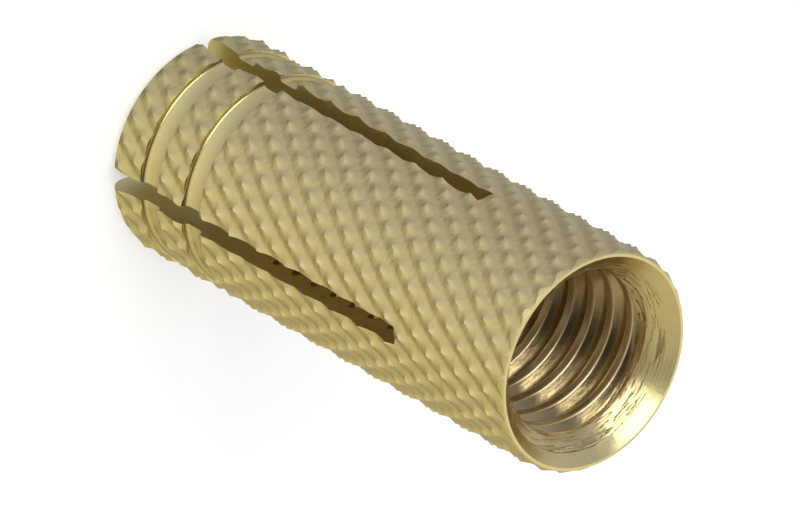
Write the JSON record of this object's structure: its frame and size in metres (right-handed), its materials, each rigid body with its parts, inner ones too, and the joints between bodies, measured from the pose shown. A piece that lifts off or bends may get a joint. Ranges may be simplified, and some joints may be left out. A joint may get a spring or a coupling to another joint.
{
  "type": "expansion anchor",
  "caption": "Turned brass expansion sleeve with a diamond-knurled outside, a countersunk and threaded mouth, lengthwise saw slots from its other end and turned grooves near that end.",
  "frame": {"origin": "on the axis, in the plane of the slotted end face that the sleeve stands on", "axes": "+Z along the axis out of the threaded mouth; +X and +Y each along one of the saw slots"},
  "size_m": [0.012, 0.012, 0.031],
  "materials": {
    "sleeve": "bare turned and knurled brass, slightly dulled, brighter in the countersink, the thread and the groove walls"
  },
  "bodies": {
    "root": {"sleeve": "sleeve"}
  },
  "joints": []
}
